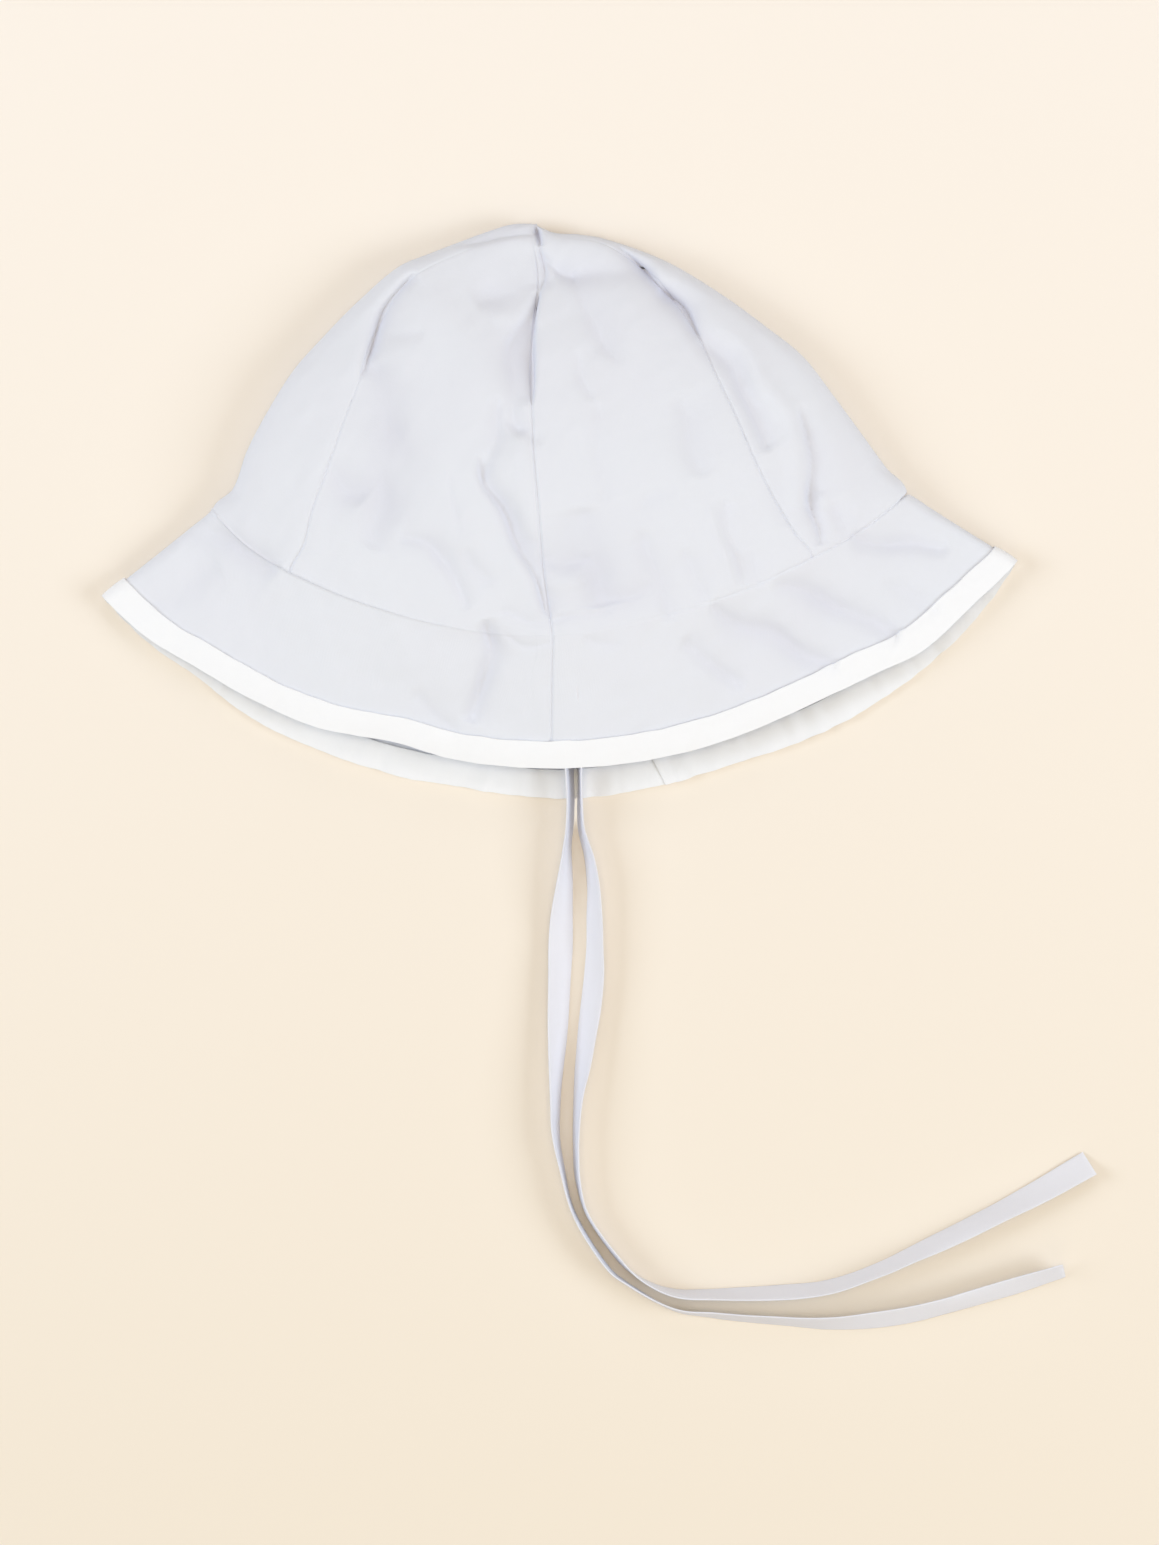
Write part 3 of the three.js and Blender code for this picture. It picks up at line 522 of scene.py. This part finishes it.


def woven_cotton(name, pale, deep, thread):
    """Plain-woven cotton. Its threads are the product of two sine waves across and along the cloth, which a
    Bump node raises; slubs are noise drawn out along the threads; the tint drifts between pale and deep, and
    the hollows of the folds get a painted purplish shade."""
    material = bpy.data.materials.new(name)
    material.use_nodes = True
    tree = material.node_tree
    shader = tree.nodes["Principled BSDF"]
    start = Wire(tree)
    place = start.node("UVMap", {"uv_map": "cloth"}, {})
    weft = start.node("SeparateXYZ", {}, {"Vector": place}, "X")
    warp = start.node("SeparateXYZ", {}, {"Vector": place}, "Y")
    waves = 2 * np.pi / thread
    weave = (weft * waves).sine() * (warp * waves).sine()
    fine = 1800  # cells of noise in a metre, across the threads
    drawn_out = 110  # and along them
    long_warp = start.node("Mapping", {}, {"Vector": place, "Scale": (fine, drawn_out, 1)})
    long_weft = start.node("Mapping", {}, {"Vector": place, "Scale": (drawn_out, fine, 1)})
    slubs = start.node("TexNoise", {}, {"Vector": long_warp, "Scale": 1.0, "Detail": 2.0})
    slubs = slubs + start.node("TexNoise", {}, {"Vector": long_weft, "Scale": 1.0, "Detail": 2.0})
    body = start.node("TexCoord", {}, {}, "Object")
    drift = start.node("TexNoise", {}, {"Vector": body, "Scale": 20.0, "Detail": 3.0})
    crinkle = start.node("TexNoise", {}, {"Vector": body, "Scale": 240.0, "Detail": 4.0, "Roughness": 0.6})
    tint = 0.5 * drift + 0.175 * slubs + 0.12 * weave
    # Painted shade: the deeper the fold under a point, the more its colour turns towards the purplish shade.
    hollow = start.node("Attribute", {"attribute_name": "hollow"}, {}, 2)
    colour = start.mix(hollow * painted_shade_share, start.mix(tint, (*pale, 1), (*deep, 1)), painted_shade_colour)
    raised = weave * 0.35 + slubs * 0.35 + crinkle * 1.6
    bump = start.node("Bump", {}, {"Height": raised, "Strength": 0.35, "Distance": 0.0001})
    rough = slubs * 0.05 + 0.83
    tree.links.new(colour.socket, shader.inputs["Base Color"])
    tree.links.new(bump.socket, shader.inputs["Normal"])
    tree.links.new(rough.socket, shader.inputs["Roughness"])
    shader.inputs["Specular IOR Level"].default_value = 0.25
    shader.inputs["Sheen Weight"].default_value = 0.08
    shader.inputs["Sheen Roughness"].default_value = 0.5
    return material


lilac = (0.756, 0.796, 0.858)
deeper_lilac = (0.746, 0.758, 0.838)
pale_lilac = woven_cotton("pale_lilac_cotton", lilac, deeper_lilac, thread=0.0005)


def seam_turn(share):
    """The turn at which a share of the way from the middle seam to the side fold is reached."""
    return np.arcsin(share) * 2 / np.pi


def side_of(turn):
    """How far to the side a turn lies, from -1 at the left fold to 1 at the right."""
    return np.sin(turn * np.pi / 2)


def steady(value):
    """The same value all along a seam."""
    return lambda reach: value + 0 * reach


# Each seam between gores: its turn at a reach, and how deep its stitches pull in.
lower_pull = 0.6
gore_seams = {
    "upper_middle": (steady(0), steady(1)),
    "upper_right": (lambda reach: seam_turn(section["seam_right"](reach)), side_seam_pull["right"]),
    "lower_right": (lambda reach: 2 - seam_turn(section["under"](reach)), steady(lower_pull)),
    "lower_middle_right": (steady(2), steady(lower_pull)),
    "lower_middle_left": (steady(-2), steady(lower_pull)),
    "lower_left": (lambda reach: -2 + seam_turn(section["under"](reach)), steady(lower_pull)),
    "upper_left": (lambda reach: -seam_turn(section["seam_left"](reach)), side_seam_pull["left"]),
}
gore_tip = 0.0003  # the gores start this far from the apex, where they are too narrow for faces
gore_rows = 205
gores = [
    # name, seams at its first and last column, columns
    ("gore_upper_left", "upper_left", "upper_middle", 156),
    ("gore_upper_right", "upper_middle", "upper_right", 156),
    ("gore_side_right", "upper_right", "lower_right", 120),
    ("gore_lower_right", "lower_right", "lower_middle_right", 40),
    ("gore_lower_left", "lower_middle_left", "lower_left", 40),
    ("gore_side_left", "lower_left", "upper_left", 120),
]
for name, first_seam, second_seam, columns in gores:
    first_reach = gore_tip / crown_length
    reach = first_reach + (1 - first_reach) * crowded(gore_rows)[:, None]
    first_turn, first_pull = gore_seams[first_seam]
    second_turn, second_pull = gore_seams[second_seam]
    turn = first_turn(reach) + (second_turn(reach) - first_turn(reach)) * crowded(columns)
    pulls = (first_pull(reach), second_pull(reach), 0, head_seam_pull(side_of(turn)))
    gore = cloth_shell(name + "_cloth", turn, reach + 0 * turn, pulls)
    gore.data.materials.append(pale_lilac)
    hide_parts(name)
    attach(gore, "root")

# Brim: two half rings of the same cotton, sewn to the crown at the head seam and to each other at the middle
# of the upper and of the lower layer. Each wraps one side fold.
brim_rows = 72
brim_columns = 420
for name, first_turn, second_turn in [("brim_right", 0, 2), ("brim_left", -2, 0)]:
    reach = 1 + crowded(brim_rows)[:, None]
    turn = first_turn + (second_turn - first_turn) * crowded(brim_columns) + 0 * reach
    half = cloth_shell(name + "_cloth", turn, reach + 0 * turn, (1, 1, head_seam_pull(side_of(turn)), 0))
    half.data.materials.append(pale_lilac)
    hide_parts(name)
    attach(half, "root")

# Binding: a white cotton tape folded over the brim's raw edge and stitched down near its inner edge, all
# the way round. Its end is turned under and lapped over its beginning on the lower layer, right of the
# middle. It runs a little unevenly, and puckers more on the lower layer, where the brim hangs loose.
binding_width = 0.0092
join_turn = 1.885
lap = 0.004
slant = 0.0032  # how much further back the lapped end reaches at the brim's edge than at its inner edge
slant_length = 0.012
lap_slope = 0.006  # length over which the lapped end climbs on to the tape's beginning
lap_clearance = 0.0002
wander = 0.0004  # how far the inner edge wanders, for each unit of rumple
middle_swell = 0.00025  # how far the tape stands off the cloth between its stitches and the brim's edge
pucker = 0.0001
more_pucker_below = 0.0003
edge_wave = 0.0002
ruffle_below = 0.0006
tape_across = 30
tape_stations = 1100

# The way along the brim's edge, in metres, from the tape's beginning once round and on past its join.
edge_fine = np.linspace(join_turn - 4, join_turn + 0.12, 4001)
edge_walked = walked(hat_surface(edge_fine, np.full(edge_fine.shape, 2.0)), 0)
ring_end = np.interp(join_turn, edge_fine, edge_walked) + lap


def tape_section(count):
    """The folded tape's section as a loop: for each point, how far back from the cloth's edge it lies, the
    way it faces (1 above the cloth, -1 below, between them round the nose), its place through the tape,
    from 0 inside to 1 outside, and its distance along the section. The two free edges are rounded."""
    leg = binding_width - tape_nose
    nose = np.pi * (cloth_thickness / 2 + tape_stand / 2)
    along = crowded(count) * (2 * leg + nose)
    back = np.maximum(0, np.maximum(leg - along, along - leg - nose))
    facing = np.clip(1 - 2 * (along - leg) / nose, -1, 1)
    from_end = np.minimum(along, along[-1] - along)
    half = 0.5 * np.sqrt(1 - (1 - np.minimum(1, from_end / (tape_thickness / 2))) ** 2)
    return (
        np.concatenate([back, back[::-1]]),
        np.concatenate([facing, facing[::-1]]),
        np.concatenate([0.5 + half, 0.5 - half[::-1]]),
        np.concatenate([along, along[::-1]]),
    )


def edge_frame(turn, back):
    """The cloth's outside near the brim's edge, its unit normal and its unit direction down the hat, the
    two from small steps of turn and reach."""
    step = 1e-3
    reach = 2 - back / brim_depth
    points = rumpled(hat_surface(turn, reach), turn)
    round_way = rumpled(hat_surface(turn + step, reach), turn + step) - points
    down_way = points - rumpled(hat_surface(turn, reach - step), turn)
    normal = np.cross(down_way, round_way)
    normal /= np.linalg.norm(normal, axis=-1, keepdims=True)
    return points, normal, down_way / np.linalg.norm(down_way, axis=-1, keepdims=True)


white = (0.895, 0.915, 0.952)
deeper_white = (0.862, 0.882, 0.922)
white_tape = woven_cotton("white_tape", white, deeper_white, thread=0.00042)

back, facing, through, section_length = tape_section(tape_across)
inwards = back / binding_width
ring_length = np.linspace(0, ring_end, tape_stations)[:, None]
ring_length = ring_length - slant * (1 - inwards) * smooth(ring_length, ring_end - slant_length, ring_end)
turn_grid = np.interp(ring_length, edge_walked, edge_fine)
along_only = np.stack([ring_length[:, :1], 0 * ring_length[:, :1], 0 * ring_length[:, :1]], -1)
wobble = rumple(along_only, 0.03, 0.006, 11)
ruffle = rumple(along_only, 0.008, 0.004, 13)
back_grid = back + wander * wobble * np.minimum(1, 2 * inwards)
cloth_points, cloth_normal, cloth_down = edge_frame(turn_grid, back_grid)

# How far the tape stands off the cloth: its swell and puckers, the wave of its folded edge and, at the
# lapped end, the tape's beginning under it. Puckers and ruffles mostly push outwards, so that no cloth
# shows through the tape. Both ends of the strip are rounded through its thickness.
tape_place = np.stack([ring_length, 0.3 * section_length + 0 * ring_length, 0 * ring_length], -1)
puckers = rumple(tape_place, 0.010, 0.0035, 12)
below = smooth(-np.cos(turn_grid * np.pi / 2), -0.2, 0.3)
swell = middle_swell * np.sin(np.pi * np.clip(inwards, 0, 1))
swell = swell + (pucker + more_pucker_below * below) * (0.6 + puckers)
swell = swell + (edge_wave * wobble + ruffle_below * below * (0.5 + ruffle)) * (1 - inwards)
to_end = ring_length[-1] - ring_length
from_end = np.minimum(to_end, ring_length - ring_length[0])
end_round = np.sqrt(1 - (1 - np.minimum(1, from_end / (tape_thickness / 2))) ** 2)
lapped = 1 - smooth(to_end, lap, lap + lap_slope)
stand = cloth_thickness / 2 + (tape_stand - tape_thickness)
stand = stand + tape_thickness * (0.5 + (through - 0.5) * end_round)
stand = stand + swell + (tape_thickness + lap_clearance) * lapped
angle = facing * np.pi / 2
off_cloth = stand * np.sin(angle) - cloth_thickness / 2
past_edge = stand * np.cos(angle)
tape_points = cloth_points + off_cloth[..., None] * cloth_normal + past_edge[..., None] * cloth_down
tape_points[..., 2] = np.maximum(tape_points[..., 2], 0)
tape_flat = np.stack([section_length + 0 * ring_length, ring_length], -1)
tape_mapping = np.concatenate([tape_flat, tape_flat[:, :1]], 1)
binding = woven_piece("edge_binding_tape", tape_points[::-1] + apex, tape_mapping[::-1])
binding.data.materials.append(white_tape)
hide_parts("edge_binding")
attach(binding, "root")

# Ties: two flat tapes of the hat's own cotton, each sewn into the head seam inside the crown. They leave
# the mouth on edge, lean apart, open out on the table, and twist over as they bend to the right.
tie_width = 0.0084
tie_thickness = 0.0007
tie_stations = 460
tie_across = 36
roll_drift = 0.06  # radians that a tie rolls by itself, for each unit of rumple
tie_hollow = 0.00035  # how far its middle sinks or swells between its edges, for each unit of rumple
tie_rows = {
    # x and y from the apex and the height of the ground, in millimetres; roll in degrees, above 0 where
    # the edge on the right of the way along the tie is raised
    "tie_lower": [
        (10.5, -131.5, 1.2, 0), (10.3, -139, 1.3, 8), (10.2, -147, 1.5, 32), (10.5, -155, 1.9, 60),
        (10.9, -163.8, 2.2, 74), (11.2, -171.5, 2.2, 76), (11.1, -176, 1.4, 77), (10.8, -181, 0.3, 77.5),
        (10.2, -186, 0, 75), (9.9, -191, 0, 68), (9.4, -198.5, 0, 53), (8.6, -207.3, 0, 38),
        (8.3, -216, 0, 29.5), (8.0, -225, 0, 38), (7.6, -236, 0, 43), (7.3, -246, 0, 50),
        (6.9, -256, 0, 62), (6.7, -264, 0, 70), (6.8, -272.4, 0, 77), (8.5, -282, 0, 82),
        (12.2, -296, 0, 85), (21.3, -311, 0, 87), (28.2, -317.2, 0, 90), (42, -324.8, 0, 97),
        (54.2, -326.6, 0, 104), (70.4, -328, 0, 112), (88.8, -329, 0, 120), (107.3, -327.4, 0, 129),
        (123.5, -324, 0, 130), (141, -318.9, 0, 129), (159, -313.2, 0, 122),
    ],
    "tie_upper": [
        (6.6, -124.6, 20.5, 0), (7.2, -129, 19.0, -8), (8.6, -134.6, 15.0, -26), (10.6, -141, 10.6, -50),
        (12.6, -149, 6.0, -70), (13.9, -157, 3.0, -80), (14.1, -164, 2.2, -83), (14.2, -172, 2.2, -80.5),
        (14.3, -176.5, 1.4, -79), (14.6, -181, 0.3, -77), (15.4, -184.5, 0, -75), (16.9, -190, 0, -71.5),
        (18.1, -198.5, 0, -66), (18.4, -207.3, 0, -58.5), (18.5, -216, 0, -54), (18.3, -225, 0, -45.5),
        (17.4, -233.7, 0, -43.5), (16.1, -242.6, 0, -51.5), (15.0, -251.4, 0, -59), (13.8, -260, 0, -69),
        (13.1, -269, 0, -76), (13.0, -277.8, 0, -80), (13.6, -287, 0, -83), (16.6, -297, 0, -86),
        (25.0, -309, 0, -82), (32.1, -315.6, 0, -88), (42, -319.8, 0, -100), (54.2, -320.4, 0, -108),
        (72.7, -319.9, 0, -113), (88.8, -318.2, 0, -114), (103.8, -313, 0, -115),
        (114.2, -308.2, 0, -118), (128.1, -301.6, 0, -127), (141.9, -294.8, 0, -133),
        (153.5, -288.8, 0, -143), (166.8, -281.2, 0, -153),
    ],
}
tie_lilac = (0.800, 0.812, 0.876)
deeper_tie_lilac = (0.764, 0.776, 0.848)
tie_cotton = woven_cotton("tie_cotton", tie_lilac, deeper_tie_lilac, thread=0.0005)


def tie_piece(name, rows):
    """A flat tape along its route. At each station its section is a squared circle, (cos^0.5, sin^0.5) of
    the corner's angle, as wide as the tie and as thick as its cloth. It is turned about the route by its
    roll and raised until its lower edge is at the ground. The mesh, its middle line and that line's length
    are given back."""
    rows = [(i / (len(rows) - 1), *row) for i, row in enumerate(rows)]
    at = curves("step x y ground roll", rows)
    step = np.linspace(0, 1, tie_stations)
    plane = np.stack([at["x"](step), at["y"](step)], -1) / 1000
    length = walked(plane, 0)
    along = np.stack([length, 0 * length, 0 * length], -1)
    roll = np.radians(at["roll"](step)) + roll_drift * rumple(along, 0.05, 0.012, 21)
    rise = np.abs(tie_width / 2 * np.sin(roll)) + np.abs(tie_thickness / 2 * np.cos(roll))
    middle = np.concatenate([plane, (at["ground"](step) / 1000 + rise)[:, None]], -1)
    ahead = np.gradient(middle, axis=0)
    ahead /= np.linalg.norm(ahead, axis=1, keepdims=True)
    level = np.cross([0, 0, 1], ahead)
    level /= np.linalg.norm(level, axis=1, keepdims=True)
    upright = np.cross(ahead, level)
    wide = level * np.cos(roll)[:, None] - upright * np.sin(roll)[:, None]
    normal = np.cross(ahead, wide)

    corner = np.linspace(0, 2 * np.pi, tie_across, endpoint=False) + np.pi / tie_across
    across = tie_width / 2 * np.sign(np.cos(corner)) * np.abs(np.cos(corner)) ** 0.5
    up = tie_thickness / 2 * np.sign(np.sin(corner)) * np.abs(np.sin(corner)) ** 0.5
    from_end = np.minimum(length, length[-1] - length)[:, None]
    plump = np.sqrt(1 - (1 - np.minimum(1, from_end / (tie_thickness / 2))) ** 2)
    bowl = 2 * (across / (tie_width / 2)) ** 2 - 1
    hollow = tie_hollow * bowl * rumple(along, 0.06, 0.02, 22)[:, None]
    height = up * plump + hollow
    rings = middle[:, None] + across[:, None] * wide[:, None] + height[..., None] * normal[:, None]
    rings[..., 2] = np.maximum(rings[..., 2], 0)
    flat = np.stack([across + 0 * from_end, length[:, None] + 0 * across], -1)
    tie = woven_piece(name + "_tape", rings + apex, np.concatenate([flat, flat[:, :1]], 1))
    return tie, middle + apex, walked(middle, 0)[-1]


for name, rows in tie_rows.items():
    tie, route, length = tie_piece(name, rows)
    tie.data.materials.append(tie_cotton)
    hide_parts(name)
    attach(tie, "root")

# Table: the plain, matt cream surface that the hat lies on, larger than the picture on all sides. It is a
# little paler towards the top of the picture: painted light, for the brighter light that falls there.
table_half = 3
table_corners = [(-1, -1), (1, -1), (1, 1), (-1, 1)]
table_mesh = bpy.data.meshes.new("table")
table_mesh.from_pydata([(x * table_half, y * table_half, 0) for x, y in table_corners], [], [(0, 1, 2, 3)])
table = bpy.data.objects.new("table", table_mesh)
bpy.context.scene.collection.objects.link(table)
near_cream = (0.83, 0.755, 0.645, 1)
far_cream = (0.90, 0.842, 0.775, 1)
cream = bpy.data.materials.new("cream_table")
cream.use_nodes = True
cream_shader = cream.node_tree.nodes["Principled BSDF"]
start = Wire(cream.node_tree)
body = start.node("TexCoord", {}, {}, "Object")
up_the_picture = start.node("SeparateXYZ", {}, {"Vector": body}, "Y")
# Painted light: the table's colour grows paler up the picture.
painted_light_share = up_the_picture * 2.2 + 0.68  # 0 at the picture's lower edge and 1 at its upper edge
tint = start.mix(painted_light_share, near_cream, far_cream)
cream.node_tree.links.new(tint.socket, cream_shader.inputs["Base Color"])
cream_shader.inputs["Roughness"].default_value = 0.9
table_mesh.materials.append(cream)

# Light: soft and nearly without shadows, from five large lamps. One on each side and one behind are cool,
# and the ones above and in front are warm, like the pale room around them.
lamps = [
    # name, place, size, watts, colour
    ("lamp_left", (-1.45, -0.05, 1.0), 0.9, 13.4, (0.73, 0.85, 1.0)),
    ("lamp_right", (1.45, -0.45, 1.0), 0.9, 16.4, (0.74, 0.82, 0.93)),
    ("lamp_above", (0.0, 0.0, 2.4), 1.0, 12.2, (1.0, 0.83, 0.54)),
    ("lamp_front", (0.0, -1.5, 1.1), 1.0, 2.6, (1.0, 0.90, 0.74)),
    ("lamp_behind", (0.0, 1.3, 1.2), 1.2, 6.2, (0.64, 0.69, 0.86)),
]
aim = Vector((0, -0.05, 0))
for name, place, size, watts, colour in lamps:
    lamp_data = bpy.data.lights.new(name, "AREA")
    lamp_data.size = size
    lamp_data.energy = watts
    lamp_data.color = colour
    lamp = bpy.data.objects.new(name, lamp_data)
    lamp.location = place
    lamp.rotation_euler = (Vector(place) - aim).to_track_quat("Z", "Y").to_euler()
    bpy.context.scene.collection.objects.link(lamp)

room = bpy.data.worlds.new("room")
room.use_nodes = True
room.node_tree.nodes["Background"].inputs["Color"].default_value = (1.0, 0.90, 0.76, 1)
room.node_tree.nodes["Background"].inputs["Strength"].default_value = 0.42
bpy.context.scene.world = room
bpy.context.scene.view_settings.view_transform = "Standard"
